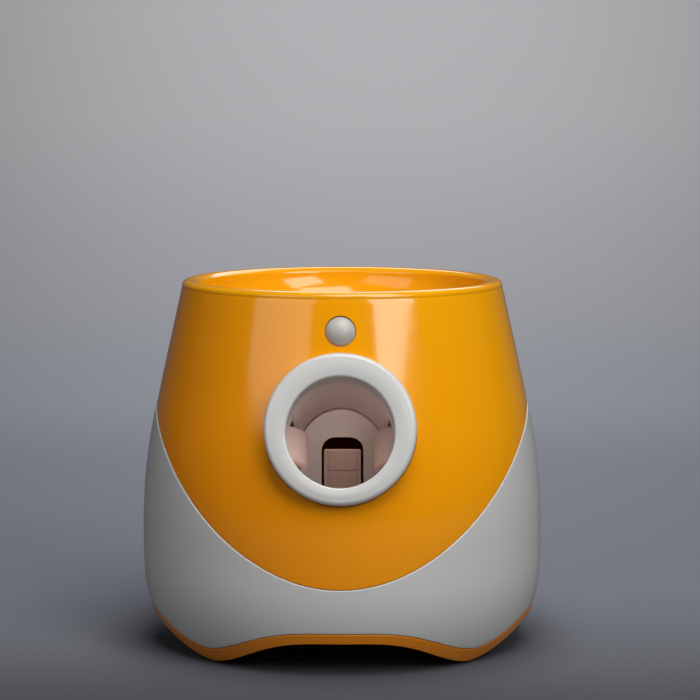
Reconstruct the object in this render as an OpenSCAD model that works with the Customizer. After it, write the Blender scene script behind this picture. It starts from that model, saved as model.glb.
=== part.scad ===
// Automatic dog ball launcher: a round hopper on top feeds balls to a tilted tube,
// where two spinning wheels throw them out of the front nozzle.
// Millimetres. The front faces -Y, +Z is up, and the origin is on the floor under the centre
// of the part's outer box, so the housing's own axis stands a little behind it.

/* [Housing] */
// Widest diameter of the housing
body_d = 245; // [238:1:256]
// Height of the crest of the hopper rim
body_h = 221; // [218:0.5:228]
// Width of the roll from the crest of the hopper rim out to the wall
rim_roll = 1.7; // [1.4:0.1:2.4]
// Height at which the housing is widest
belly_z = 72; // [68:1:78]
// Lean of the straight upper wall
taper_angle = 12.6; // [12:0.1:13.2]
// Radius that blends the straight wall into the belly
belly_blend = 328; // [310:1:345]
// How far the foot is drawn in from the belly
foot_draw = 16; // [13:0.5:18]
// Height below which the wall is drawn in
foot_draw_z = 60; // [56:1:66]
// Wall of the moulded shells
shell_wall = 2.6; // [2:0.1:3.2]
// Seam between two shells
seam_gap = 0.3; // [0.2:0.05:0.5]
// Depth of the lip that overlaps behind a seam
lap_depth = 5; // [4:0.5:7]

/* [Two-tone cover] */
// Height of the white cover at the sides
cover_apex_z = 147; // [140:1:152]
// How far the cover drops from the sides to the front and back
cover_drop = 94; // [86:1:98]
// Sharpness of the cover's curve
cover_power = 1.73; // [1.5:0.01:2.2]

/* [Base] */
// Height of the arches between the feet
arch_h = 20; // [17:0.5:21]
// Half width of an arch
arch_half_w = 78; // [72:1:80]
// Height of the orange band at the feet
band_h = 9.3; // [8:0.1:12]
// Rise of the band's upper edge over an arch
band_rise = 17; // [16.5:0.1:17.5]
// Half width of the arched floor under the middle
floor_half_w = 58; // [57:0.5:60]
// Thickness of the floor
floor_t = 2.6; // [2.2:0.1:3.2]
// Height at which the rubber pads hold the feet off the floor
pad_h = 1; // [0.8:0.1:2]
// Diameter of a rubber pad
pad_d = 15; // [13:0.5:16]
// Distance of a pad from the middle, along X and along Y
pad_at = 69; // [68:0.5:70]

/* [Launch tube] */
// Upward tilt of the bore
fire_angle = 25; // [23:0.5:27]
// Bore of the launch tube
bore_d = 62.4; // [60:0.2:64]
// Wall of the launch tube
tube_wall = 2.3; // [2:0.1:2.6]
// Height of the bore's axis where it leaves the housing
bore_z = 143.5; // [141:0.5:146]
// Outer diameter of the nozzle ring
ring_d = 88; // [85:0.5:92]
// How far the nozzle ring stands proud of the wall
ring_proud = 4.5; // [3:0.25:6]
// How far the nozzle ring reaches inside
ring_depth = 10; // [9:0.5:11]
// Gap round the nozzle ring
ring_gap = 0.6; // [0.4:0.1:0.9]

/* [Flywheels] */
// Diameter of a flywheel over its tyre
wheel_d = 42; // [40:0.5:43]
// Width of a flywheel
wheel_w = 22; // [18:0.5:23]
// Gap between the two tyres
wheel_nip = 39; // [38:0.5:42]
// Distance of the wheels behind the mouth, along the bore
wheel_s = 40; // [38:0.5:42]
// Thickness of the soft tyre
tyre_t = 4; // [3:0.25:5]
// Diameter of a drive motor
motor_d = 24.4; // [22:0.2:25]
// Length of a drive motor
motor_l = 31; // [26:0.5:32]
// Diameter of a drive motor's shaft
motor_shaft_d = 2.3; // [2:0.1:3]
// Running clearance round wheels
wheel_clear = 1.5; // [1:0.25:2]

/* [Hopper and ball well] */
// Inner diameter of the well under the hopper
well_d = 64; // [63:0.5:66]
// Wall of the well
well_wall = 2.5; // [2:0.1:3]
// Distance of the well's axis in front of the middle
well_forward = 18; // [16:0.5:20]
// Height of the well's floor
well_floor_z = 66; // [64:0.5:70]
// Height of the throat of the hopper
throat_z = 160; // [158:0.5:164]
// Wall of the hopper
hopper_wall = 2.6; // [2:0.1:3.2]
// Share of even slope in the bowl
bowl_slope = 0.35; // [0.25:0.05:0.5]

/* [Feed paddle] */
// Width of the paddle
paddle_w = 23; // [20:0.5:24]
// Side clearance of the paddle in its slot
paddle_clear = 1.5; // [1:0.25:2]
// Height of the paddle's top edge
paddle_top_z = 114.5; // [112:0.5:118]
// Height of the slot's top edge
slot_top_z = 122; // [121:0.5:126]
// Height of the paddle's pivot
pivot_z = 48; // [47:0.5:50]
// Distance of the pivot behind the middle
pivot_y = 14.5; // [14:0.25:15.5]
// Diameter of the paddle's shaft
shaft_d = 4; // [3:0.25:5]
// Running clearance of a shaft in its bore, on the radius
shaft_clear = 0.06; // [0.04:0.01:0.1]
// Forward swing of the paddle
paddle_swing = 30; // [24:1:32]
// Diameter of the gear motor that drives the paddle
feed_motor_d = 24; // [20:0.5:25]
// Length of that gear motor
feed_motor_l = 44; // [36:1:50]

/* [Battery] */
// Diameter of a battery cell
cell_d = 26.2; // [25.5:0.1:26.6]
// Length of a battery cell
cell_l = 50; // [49:0.5:51]
// Wall of the battery box
box_wall = 1.6; // [1.2:0.1:2]
// Thickness of the battery door
door_t = 2.2; // [1.8:0.1:2.4]
// Gap round the battery door
door_gap = 0.5; // [0.3:0.05:0.8]

/* [Sensor and controls] */
// Diameter of the motion sensor's lens
lens_d = 17.6; // [16:0.2:19]
// Depth of the sensor's middle below the crest of the rim
lens_drop = 20.5; // [19:0.5:23]
// Height of the control panel on the back
panel_z = 150; // [144:1:156]
// Width of the control panel
panel_w = 66; // [60:1:72]
// Height of the control panel
panel_h = 28; // [26:1:32]
// Diameter of a push button
button_d = 12; // [10:0.5:14]
// Travel of a push button
button_travel = 1; // [0.6:0.1:1.2]
// Gap round a push button
button_gap = 0.35; // [0.3:0.05:0.5]
// Height of the power inlet on the back
inlet_z = 40; // [38:0.5:46]
// Angle by which the power inlet is turned aside from the middle of the back
inlet_turn = 24; // [20:1:30]
// Barrel of the power inlet
inlet_d = 5.6; // [5.4:0.1:6]

/* [Hidden] */
$fn = 96;
orange = "#f08c0a";
white = "#ecebe6";
black = "#262626";
steel = "#c9cbcc";
green = "#1f6b3a";

// Profile of the housing, as a radius at each height.
belly_r = body_d / 2;
blend_top_z = belly_z + belly_blend * sin(taper_angle);
blend_top_r = belly_r - belly_blend * (1 - cos(taper_angle));
function wall_r(z) =
    z >= blend_top_z ? blend_top_r - (z - blend_top_z) * tan(taper_angle)
    : z >= belly_z ? belly_r - belly_blend + sqrt(pow(belly_blend, 2) - pow(z - belly_z, 2))
    : z >= foot_draw_z ? belly_r
    : belly_r - foot_draw * pow((foot_draw_z - z) / foot_draw_z, 2.6);

// Solid of the housing, drawn in by a depth and standing between two heights.
profile_low = [for (i = [0:9]) foot_draw_z * i / 10];
profile_mid = [for (i = [0:6]) belly_z + (blend_top_z - belly_z) * i / 6];
module body_solid(inset, z_from, z_to) {
    heights = [for (z = concat(profile_low, [foot_draw_z], profile_mid)) if (z > z_from && z < z_to) z];
    edge = concat([z_from], heights, [z_to]);
    rotate_extrude()
        polygon(concat([[0, z_from]], [for (z = edge) [wall_r(z) - inset, z]], [[0, z_to]]));
}
rim_z = body_h - 4;
lens_z = body_h - lens_drop;

// Ring-shaped wall of the housing between two depths.
module wall_ring(outer_inset, inner_inset, z_from, z_to) {
    difference() {
        body_solid(outer_inset, z_from, z_to);
        body_solid(inner_inset, z_from - 1, z_to + 1);
    }
}

// Everything below the cover's curved upper edge, shifted up by dz.
function cover_z(y) = cover_apex_z - cover_drop * pow(abs(y) / (belly_r - 0.3), cover_power);
cover_steps = 14;
module below_cover(dz) {
    reach = belly_r + 8;
    curve = [for (i = [-cover_steps:cover_steps]) let (y = reach * i / cover_steps) [y, cover_z(y) + dz]];
    rotate([90, 0, 90])
        linear_extrude(height = 2 * reach, center = true)
            polygon(concat([[-reach, -20]], curve, [[reach, -20]]));
}

// Arched tunnel along X and along Y: a cos-squared hump of a given half width.
function hump(x, half_w) = pow(cos(90 * pow(min(abs(x) / half_w, 1), 1.8)), 2);
arch_steps = 14;
module tunnels(half_w, low, rise) {
    reach = belly_r + 8;
    sides = [
        for (i = [-arch_steps:arch_steps])
            let (x = half_w * i / arch_steps) [x, low + rise * hump(x, half_w)]
    ];
    edge = concat([[-reach, low]], sides, [[reach, low]]);
    for (turn = [0, 90])
        rotate([90, 0, turn])
            linear_extrude(height = 2 * reach, center = true)
                polygon(concat([[-reach, -20]], edge, [[reach, -20]]));
}
foot_low = pad_h;

// Frame of the bore: its own -Y is the firing direction.
wall_at_bore = wall_r(bore_z);
module bore_frame() {
    translate([0, -wall_at_bore, bore_z]) rotate([-fire_angle, 0, 0]) children();
}
// Frame on the front or back wall at a height: +Z points out of the wall.
module front_wall(z) {
    translate([0, -wall_r(z), z]) rotate([90 - taper_angle, 0, 0]) children();
}
module back_wall(z) {
    translate([0, wall_r(z), z]) rotate([0, 0, 180]) rotate([90 - taper_angle, 0, 0]) children();
}
module inlet_frame() {
    rotate([0, 0, inlet_turn]) translate([0, wall_r(inlet_z), inlet_z]) rotate([-90, 0, 0]) children();
}
module bore_cylinder(r) {
    bore_frame() rotate([-90, 0, 0]) translate([0, 0, -60]) cylinder(r = r, h = 260);
}
module rounded_plate(w, h, r, t) {
    linear_extrude(height = t)
        union() {
            square([w, h - 2 * r], center = true);
            square([w - 2 * r, h], center = true);
            for (x = [-1, 1], y = [-1, 1])
                translate([x * (w / 2 - r), y * (h / 2 - r)]) circle(r = r);
        }
}

bore_r = bore_d / 2;
tube_r = bore_r + tube_wall;
ring_r = ring_d / 2;
// Round edges of the nozzle ring's lip.
lip_outer = 3;
lip_inner = 4.2;
lip_in_r = bore_r + 1;
wheel_r = wheel_d / 2;
wheel_x = wheel_nip / 2 + wheel_r;
well_r = well_d / 2;
well_out_r = well_r + well_wall;
deck_z = -wheel_w / 2 - wheel_clear - 0.3;
deck_t = 2.5;
screw_r = 1.5;
// Screw ears of the launch tube: across, along the bore and up, in the bore's frame.
tube_ears = [[-38, 14, 38], [38, 14, 38], [-30, 24, -44], [30, 24, -44]];
tube_ear_t = 3;
tube_screw_l = 8;
case_screw_at = belly_r - 14.5;
case_boss_top = cover_apex_z - cover_drop - lap_depth - 3;
boss_r = 4.5;
hole_clear = 0.25;

module panel_opening(grow, depth) {
    back_wall(panel_z) translate([0, 0, -depth])
        rounded_plate(panel_w + 2 * grow, panel_h + 2 * grow, 6, depth + 20);
}

module upper_shell() {
    color(orange) {
        difference() {
            union() {
                difference() {
                    wall_ring(0, shell_wall, 40, rim_z - seam_gap);
                    below_cover(seam_gap / 2);
                }
                // Lip that overlaps behind the cover's edge.
                difference() {
                    intersection() {
                        wall_ring(shell_wall, shell_wall * 2, 40, cover_apex_z + 20);
                        below_cover(seam_gap / 2 + 2);
                    }
                    below_cover(-lap_depth);
                }
                // Bosses that hold the launch tube.
                intersection() {
                    body_solid(shell_wall / 2, 40, rim_z);
                    bore_frame()
                        for (ear = tube_ears)
                            translate(ear) rotate([90, 0, 0]) cylinder(r = boss_r, h = 40);
                }
            }
            front_wall(bore_z) translate([0, 0, -40]) cylinder(r = ring_r + ring_gap, h = 60);
            front_wall(lens_z) translate([0, 0, -20]) cylinder(r = lens_d / 2 + hole_clear, h = 40);
            bore_frame()
                for (ear = tube_ears)
                    translate(ear + [0, 1, 0]) rotate([90, 0, 0])
                        cylinder(r = screw_r - 0.2, h = tube_screw_l - tube_ear_t + 1.5);
            panel_opening(0.3, 16);
        }
    }
}

module lower_shell() {
    color(white) {
        difference() {
            union() {
                intersection() {
                    wall_ring(0, shell_wall, 4, cover_apex_z + 10);
                    below_cover(-seam_gap / 2);
                }
                // Screw bosses at the four sides, with a web to the wall.
                intersection() {
                    body_solid(shell_wall / 2, band_h + band_rise, case_boss_top);
                    for (turn = [0:90:270])
                        rotate([0, 0, turn]) {
                            translate([0, case_screw_at, 0]) cylinder(r = boss_r, h = case_boss_top);
                            translate([-1.2, case_screw_at, 0]) cube([2.4, 30, case_boss_top]);
                        }
                }
            }
            tunnels(arch_half_w + 4, band_h + seam_gap / 2, band_rise);
            for (turn = [0:90:270])
                rotate([0, 0, turn])
                    translate([0, case_screw_at, 0]) cylinder(r = screw_r - 0.2, h = 40);
            inlet_frame() translate([0, 0, -30]) cylinder(r = inlet_d, h = 60);
        }
    }
}

floor_top = arch_h + floor_t;
speaker_x = 42;
speaker_y = 62;
door_w = 2 * cell_l + 4;
door_l = 3 * cell_d + 8;
box_back = -6;
box_front = box_back - door_l;
box_mid = (box_back + box_front) / 2;
post_x = 28;
post_y = 6;
pivot_lug_x = paddle_w / 2 + paddle_clear + 3.5;
hinge_z = arch_h + door_t / 2 + 0.1;
hinge_y = box_back - door_t / 2 - door_gap;
hinge_r = door_t / 2;
pin_r = hinge_r - 0.4;
pin_reach = 4;
ear_x = door_w / 2 + door_gap;

// The cross-shaped room under the floor, between the four feet.
module under_floor(top, grow) {
    reach = belly_r + 8;
    intersection() {
        body_solid(shell_wall, -1, top);
        for (turn = [0, 90])
            rotate([0, 0, turn])
                translate([-floor_half_w - grow, -reach, -10])
                    cube([2 * (floor_half_w + grow), 2 * reach, top + 10]);
    }
}

module base_tray() {
    color(orange) {
        difference() {
            union() {
                difference() {
                    union() {
                        intersection() {
                            body_solid(0, foot_low, band_h + band_rise);
                            tunnels(arch_half_w + 4, band_h - seam_gap / 2, band_rise);
                        }
                        // The floor and the lip that stands behind the cover.
                        body_solid(shell_wall + 0.2, foot_low, floor_top);
                    }
                    tunnels(arch_half_w, foot_low, arch_h - foot_low);
                    under_floor(arch_h, 0);
                    difference() {
                        body_solid(2 * shell_wall + 0.2, foot_low + floor_t, band_h + band_rise + 5);
                        tunnels(arch_half_w, foot_low + floor_t, arch_h - foot_low);
                        under_floor(floor_top, floor_t);
                    }
                }
                // Posts that carry the ball well.
                for (x = [-1, 1])
                    translate([x * post_x, post_y, arch_h])
                        cylinder(r = 4, h = well_floor_z - floor_t - arch_h);
                // Seats for the case screws.
                for (turn = [0:90:270])
                    rotate([0, 0, turn])
                        translate([0, case_screw_at, arch_h])
                            cylinder(r = boss_r, h = band_h + band_rise - arch_h);
                // Ears that hold the door's hinge pins.
                for (x = [-1, 1])
                    translate([x * (ear_x + 3) - 2.5, hinge_y - 4, arch_h]) cube([5, 8, 6]);
            }
            translate([-ear_x, box_front - door_gap, arch_h - 1])
                cube([2 * ear_x, door_l + door_gap * 2 - 0.5, 20]);
            translate([-ear_x - pin_reach - 0.5, hinge_y, hinge_z])
                rotate([0, 90, 0]) cylinder(r = pin_r + shaft_clear, h = 2 * (ear_x + pin_reach + 0.5));
            for (turn = [0:90:270])
                rotate([0, 0, turn])
                    translate([0, case_screw_at, arch_h - 1]) {
                        cylinder(r = screw_r + hole_clear, h = 40);
                        cylinder(r = 3.4, h = 3.4);
                    }
            for (y = [-8, 8])
                translate([feed_motor_x + 14, pivot_y + y, floor_top - 2.2])
                    cylinder(r = screw_r - 0.2, h = 5);
            // Sound holes under the speaker.
            for (i = [0:6])
                translate([-speaker_x, speaker_y, arch_h - 1])
                    rotate([0, 0, i * 60])
                        translate([i == 6 ? 0 : 8, 0, 0]) cylinder(r = 1.6, h = 10);
        }
    }
}

module foot_pads() {
    color(black)
        for (x = [-1, 1], y = [-1, 1])
            intersection() {
                translate([x * pad_at, y * pad_at, 0]) cylinder(d = pad_d, h = arch_h / 2);
                tunnels(arch_half_w, foot_low, arch_h - foot_low);
            }
}

module nozzle_ring() {
    color(white)
        difference() {
            front_wall(bore_z)
                rotate_extrude()
                    union() {
                        // Seat in the wall, cut to the bore below.
                        translate([bore_r - 6, -ring_depth]) square([ring_r - bore_r + 6, ring_depth - 1]);
                        // Lip with a round outer edge and a wider round inner edge.
                        translate([lip_in_r, -1.5])
                            square([ring_r - lip_in_r, ring_proud + 1.5 - lip_inner]);
                        translate([lip_in_r + lip_inner, -1.5])
                            square([ring_r - lip_in_r - lip_inner - lip_outer, ring_proud + 1.5]);
                        translate([lip_in_r + lip_inner, ring_proud - lip_inner]) circle(r = lip_inner);
                        translate([ring_r - lip_outer, ring_proud - lip_outer]) circle(r = lip_outer);
                        translate([ring_r - lip_outer - 1, -1.5])
                            square([lip_outer + 1, ring_proud + 1.5 - lip_outer]);
                    }
            bore_cylinder(bore_r);
        }
}

// Everything behind the nozzle ring.
module behind_ring(gap) {
    front_wall(bore_z) translate([-120, -120, -300 - ring_depth - gap]) cube([240, 240, 300]);
}

module launch_tube() {
    slot_r = wheel_r + wheel_clear;
    slot_h = wheel_w + 2 * wheel_clear;
    color(white)
        difference() {
            union() {
                intersection() {
                    bore_cylinder(tube_r);
                    behind_ring(0.2);
                }
                bore_frame() {
                    // Motor deck on both sides.
                    for (x = [-1, 1])
                        translate([x * wheel_x, wheel_s, deck_z - deck_t]) {
                            cylinder(r = motor_d / 2 + 3, h = deck_t);
                            translate([x > 0 ? -20 : 0, -9, 0]) cube([20, 18, deck_t]);
                        }
                    // Ears for the screws into the housing's bosses.
                    for (ear = tube_ears) {
                        translate(ear + [0, tube_ear_t, 0])
                            rotate([90, 0, 0]) cylinder(r = boss_r + 0.5, h = tube_ear_t);
                        rotate([0, -atan2(ear[2], ear[0]), 0])
                            translate([tube_r - 1.5, ear[1], -3])
                                cube([norm([ear[0], ear[2]]) - tube_r - 1.3, tube_ear_t, 6]);
                    }
                }
            }
            bore_cylinder(bore_r);
            bore_frame() {
                for (x = [-1, 1])
                    translate([x * wheel_x, wheel_s, 0]) {
                        cylinder(r = slot_r, h = slot_h, center = true);
                        translate([0, 0, deck_z - deck_t - 1]) cylinder(r = 4.2, h = deck_t + 2);
                        for (hole = [-1, 1])
                            translate([0, hole * 8.5, deck_z - deck_t - 1])
                                cylinder(r = screw_r, h = deck_t + 2);
                    }
                for (ear = tube_ears)
                    translate(ear + [0, tube_ear_t + 1, 0])
                        rotate([90, 0, 0]) cylinder(r = screw_r + hole_clear, h = tube_ear_t + 2);
                // Room for the motor bodies below the deck.
                for (x = [-1, 1])
                    translate([x * wheel_x, wheel_s, deck_z - deck_t - 40])
                        cylinder(r = motor_d / 2 + 0.3, h = 40);
            }
            translate([0, -well_forward, 0]) cylinder(r = well_out_r + 0.2, h = 300);
            translate([-100, -well_forward, 0]) cube([200, 200, 300]);
        }
}

// Rounded slot in the rear wall and floor of the well, in which the paddle stands.
module paddle_slot() {
    w = paddle_w + 2 * paddle_clear;
    corner = 8;
    translate([0, 60, 0])
        rotate([90, 0, 0])
            linear_extrude(height = 60 - pivot_y + 17)
                union() {
                    translate([-w / 2, 0]) square([w, slot_top_z - corner]);
                    translate([-w / 2 + corner, 0]) square([w - 2 * corner, slot_top_z]);
                    for (x = [-1, 1])
                        translate([x * (w / 2 - corner), slot_top_z - corner]) circle(r = corner);
                }
}

module ball_cradle() {
    color(white)
        difference() {
            union() {
                translate([0, -well_forward, well_floor_z - floor_t])
                    cylinder(r = well_out_r, h = throat_z - hopper_wall - well_floor_z);
                translate([-post_x - 5, post_y - 5, well_floor_z - floor_t])
                    cube([2 * post_x + 10, 10, floor_t]);
                for (x = [-1, 1])
                    translate([x * pivot_lug_x - 2, pivot_y - 6, pivot_z])
                        cube([4, 12, well_floor_z - pivot_z]);
                for (x = [-1, 1])
                    translate([x * pivot_lug_x - 2, pivot_y, pivot_z])
                        rotate([0, 90, 0]) cylinder(r = 6, h = 4);
            }
            // The well above the bore's axis, and the sloping trough below it.
            intersection() {
                translate([0, -well_forward, well_floor_z]) cylinder(r = well_r, h = 200);
                union() {
                    bore_cylinder(bore_r);
                    bore_frame() translate([-60, -20, 0]) cube([120, 260, 120]);
                }
            }
            intersection() {
                bore_cylinder(bore_r);
                translate([-60, -well_forward - 60, well_floor_z]) cube([120, 60, 100]);
            }
            paddle_slot();
            translate([-60, pivot_y, pivot_z]) rotate([0, 90, 0])
                cylinder(r = shaft_d / 2 + shaft_clear, h = 120);
            for (x = [-1, 1])
                translate([x * well_out_r, -well_forward, 100]) rotate([0, 90, 0])
                    cylinder(r = 2.6, h = 20, center = true);
        }
}

module tyre(side) {
    bore_frame()
        translate([side * wheel_x, wheel_s, 0])
            difference() {
                rotate_extrude()
                    polygon([
                        [0, -wheel_w / 2], [wheel_r - 2, -wheel_w / 2], [wheel_r, -wheel_w / 2 + 2],
                        [wheel_r, wheel_w / 2 - 2], [wheel_r - 2, wheel_w / 2], [0, wheel_w / 2]
                    ]);
                cylinder(r = wheel_r - tyre_t, h = wheel_w + 2, center = true);
            }
}
module hub(side) {
    bore_frame()
        translate([side * wheel_x, wheel_s, 0])
            difference() {
                union() {
                    cylinder(r = wheel_r - tyre_t, h = 3, center = true);
                    cylinder(r = motor_shaft_d / 2 + 2.5, h = wheel_w - 4, center = true);
                    difference() {
                        cylinder(r = wheel_r - tyre_t, h = wheel_w - 2, center = true);
                        cylinder(r = wheel_r - tyre_t - 2, h = wheel_w, center = true);
                    }
                }
                cylinder(r = motor_shaft_d / 2, h = wheel_w + 2, center = true);
            }
}
module drive_motor(side) {
    bore_frame()
        translate([side * wheel_x, wheel_s, deck_z - deck_t - motor_l])
            difference() {
                union() {
                    cylinder(r = motor_d / 2, h = motor_l);
                    translate([0, 0, motor_l]) cylinder(r = 3.6, h = deck_t - 0.6);
                    translate([0, 0, -2.5]) cylinder(r = 4.5, h = 3);
                }
                translate([0, 0, motor_l - 12]) cylinder(r = motor_shaft_d / 2 + shaft_clear, h = 20);
                for (hole = [-1, 1])
                    translate([0, hole * 8.5, motor_l - 3]) cylinder(r = screw_r - 0.2, h = 5);
            }
}
module motor_shaft(side) {
    bore_frame()
        translate([side * wheel_x, wheel_s, deck_z - deck_t - 11])
            cylinder(r = motor_shaft_d / 2, h = 11 + deck_t + wheel_clear + wheel_w - 2);
}
module flywheel_left_tyre() { color("#e8ddd6") tyre(-1); }
module flywheel_right_tyre() { color("#e8ddd6") tyre(1); }
module flywheel_left_hub() { color(black) hub(-1); }
module flywheel_right_hub() { color(black) hub(1); }
module drive_motor_left() { color(steel) drive_motor(-1); }
module drive_motor_right() { color(steel) drive_motor(1); }
module motor_shaft_left() { color(steel) motor_shaft(-1); }
module motor_shaft_right() { color(steel) motor_shaft(1); }

paddle_t = 3;
module feed_paddle() {
    color(white)
        difference() {
            union() {
                translate([-paddle_w / 2, pivot_y - paddle_t, pivot_z])
                    cube([paddle_w, paddle_t, paddle_top_z - pivot_z]);
                for (x = [-1, 0, 1])
                    translate([x * (paddle_w / 2 - 1) - 1, pivot_y - 0.5, pivot_z])
                        cube([2, 4.5, paddle_top_z - pivot_z - 8]);
                translate([-paddle_w / 2, pivot_y, pivot_z]) rotate([0, 90, 0])
                    cylinder(r = 5.5, h = paddle_w);
            }
            translate([-40, pivot_y, pivot_z]) rotate([0, 90, 0]) cylinder(r = shaft_d / 2, h = 80);
        }
}
shaft_left = pivot_lug_x + 5;
feed_motor_x = post_x + 6;
module paddle_shaft() {
    color(steel)
        translate([-shaft_left, pivot_y, pivot_z])
            rotate([0, 90, 0]) cylinder(r = shaft_d / 2, h = shaft_left + feed_motor_x + 8);
}
module paddle_collars() {
    color(steel)
        for (x = [-1, 1])
            translate([x * (pivot_lug_x + 3.4) - 1, pivot_y, pivot_z])
                rotate([0, 90, 0])
                    difference() {
                        cylinder(r = 4, h = 2);
                        translate([0, 0, -1]) cylinder(r = shaft_d / 2, h = 4);
                    }
}
module feed_motor() {
    color(steel)
        translate([feed_motor_x, pivot_y, pivot_z])
            rotate([0, 90, 0])
                difference() {
                    union() {
                        cylinder(r = feed_motor_d / 2, h = feed_motor_l);
                        translate([0, 0, feed_motor_l]) cylinder(r = 4, h = 3);
                        translate([0, 0, -2]) cylinder(r = 4.5, h = 3);
                    }
                    translate([0, 0, -3]) cylinder(r = shaft_d / 2 + shaft_clear, h = 12);
                }
}
bracket_t = 1.5;
module feed_motor_bracket() {
    low = floor_top;
    color(steel)
        difference() {
            union() {
                translate([feed_motor_x - bracket_t - 0.1, pivot_y - 12, low])
                    cube([bracket_t, 24, pivot_z + feed_motor_d / 2 - low]);
                translate([feed_motor_x - bracket_t - 0.1, pivot_y - 12, low]) cube([22, 24, bracket_t]);
            }
            translate([0, pivot_y, pivot_z]) rotate([0, 90, 0]) cylinder(r = 4.8, h = 80);
            for (y = [-8, 8])
                translate([feed_motor_x + 14, pivot_y + y, 0]) cylinder(r = screw_r, h = 60);
        }
}

// Hopper: rings from the throat up the bowl, over the rim and down the outside.
rim_lip_w = 5.5;
rim_out_r = wall_r(rim_z);
rim_top_r = rim_out_r - rim_roll;
bowl_top_r = rim_top_r - rim_lip_w;
bowl_depth = body_h - 2.5 - throat_z;
bowl_steps = 9;
ring_sides = 64;
function bowl_ring(i, out) =
    let (a = 90 * i / bowl_steps)
    let (drop = (1 - bowl_slope) * sin(a) + bowl_slope * (1 - cos(a)))
    [well_r + (bowl_top_r - well_r) * cos(a) + out,
     throat_z + bowl_depth * (1 - drop) - out * (i == 0 ? 2 : sin(a)),
     -well_forward * (1 - cos(a))];
hopper_rings = concat(
    [for (i = [bowl_steps:-1:0]) bowl_ring(i, 0)],
    [
        [rim_top_r - 2.6, body_h - 0.8, 0], [rim_top_r, body_h, 0],
        [rim_top_r + 0.7 * rim_roll, body_h - 0.9, 0], [rim_out_r, rim_z + 1.2, 0], [rim_out_r, rim_z, 0],
        [rim_out_r - shell_wall - 0.5, rim_z, 0]
    ],
    [for (i = [0:bowl_steps]) bowl_ring(i, hopper_wall)]
);
module hopper() {
    count = len(hopper_rings);
    points = [
        for (ring = hopper_rings, k = [0:ring_sides - 1])
            [ring[0] * cos(360 * k / ring_sides), ring[2] + ring[0] * sin(360 * k / ring_sides), ring[1]]
    ];
    faces = [
        for (i = [0:count - 1], k = [0:ring_sides - 1])
            let (j = (i + 1) % count, n = (k + 1) % ring_sides)
            each [
                [i * ring_sides + k, j * ring_sides + k, j * ring_sides + n],
                [i * ring_sides + k, j * ring_sides + n, i * ring_sides + n]
            ]
    ];
    color(orange) polyhedron(points = points, faces = faces);
}

module pir_lens() {
    color("#dcdcd6")
        front_wall(lens_z)
            difference() {
                union() {
                    intersection() {
                        translate([0, 0, -lens_d * 0.42]) sphere(r = lens_d * 0.6);
                        translate([0, 0, -shell_wall - 1.5]) cylinder(r = lens_d / 2, h = 30);
                    }
                    translate([0, 0, -shell_wall - 1.7]) cylinder(r = lens_d / 2 + 1.2, h = 1);
                }
                intersection() {
                    translate([0, 0, -lens_d * 0.42]) sphere(r = lens_d * 0.6 - 1);
                    translate([0, 0, -10]) cylinder(r = lens_d / 2 - 1, h = 30);
                }
            }
}
pir_can_h = 2.9;
pir_board_w = 28;
pir_board_l = 15;
pir_board_t = 1.2;
pir_board_depth = shell_wall + 1.8 + pir_can_h;
module pir_sensor() {
    color(steel)
        front_wall(lens_z)
            translate([0, 0, -pir_board_depth]) {
                cylinder(r = 4.6, h = pir_can_h);
                cylinder(r = 5.1, h = 0.6);
            }
}
module pir_board() {
    color(green)
        front_wall(lens_z) {
            translate([0, -2.5, -pir_board_depth - pir_board_t])
                rounded_plate(pir_board_w, pir_board_l, 1.5, pir_board_t);
            // Pegs that hold the board to the housing.
            for (x = [-1, 1])
                translate([x * (pir_board_w / 2 - 1.7), -2.5, -pir_board_depth - 0.1])
                    cylinder(r = 1.2, h = pir_board_depth - shell_wall - 1.1);
        }
}
module ball_sensors() {
    color(black)
        for (x = [-1, 1])
            translate([x * (well_out_r + 0.1), -well_forward, 100])
                rotate([0, x * 90, 0]) {
                    translate([0, 0, -well_wall + 0.2]) cylinder(r = 2.5, h = well_wall + 0.4);
                    translate([-5, -4, 0.4]) cube([10, 8, 4]);
                }
}

panel_depth = pow(panel_w / 2, 2) / (2 * wall_r(panel_z)) + 1.4;
panel_t = 2;
button_x = 17;
module panel_frame() {
    back_wall(panel_z) translate([0, 0, -panel_depth]) children();
}
module control_panel() {
    color(black)
        difference() {
            intersection() {
                body_solid(0, 100, 200);
                back_wall(panel_z) translate([0, 0, -panel_depth - panel_t])
                    rounded_plate(panel_w, panel_h, 5.7, 30);
            }
            panel_frame() {
                rounded_plate(panel_w - 4, panel_h - 4, 4, 30);
                for (x = [-1, 1])
                    translate([x * button_x, 0, -10]) cylinder(r = button_d / 2 + button_gap, h = 20);
                for (i = [-1.5:1.5])
                    translate([i * 3.6, 0, -10]) cylinder(r = 1.25, h = 20);
            }
        }
}
module push_button(x) {
    panel_frame()
        translate([x, 0, -panel_t - 0.6]) {
            cylinder(r = button_d / 2, h = panel_t + 2.4);
            translate([0, 0, -1]) cylinder(r = button_d / 2 + 1.2, h = 1);
        }
}
module power_button() { color("#d9dad7") push_button(-button_x); }
module range_button() { color("#d9dad7") push_button(button_x); }
module indicator_leds() {
    color("#7fd07a")
        panel_frame()
            for (i = [-1.5:1.5])
                translate([i * 3.6, 0, -panel_t]) {
                    cylinder(r = 1.2, h = panel_t);
                    sphere(r = 1.2);
                }
}
button_board_depth = panel_t + 1.6 + button_travel + 3.4;
module button_board() {
    color(green)
        panel_frame() {
            translate([0, 0, -button_board_depth - 1.6]) rounded_plate(panel_w - 6, panel_h - 8, 2, 1.6);
            for (x = [-1, 1], y = [-1, 1])
                translate([x * (panel_w / 2 - 6), y * (panel_h / 2 - 7), -button_board_depth - 0.1])
                    cylinder(r = 1.6, h = button_board_depth - panel_t + 0.1);
        }
}
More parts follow.
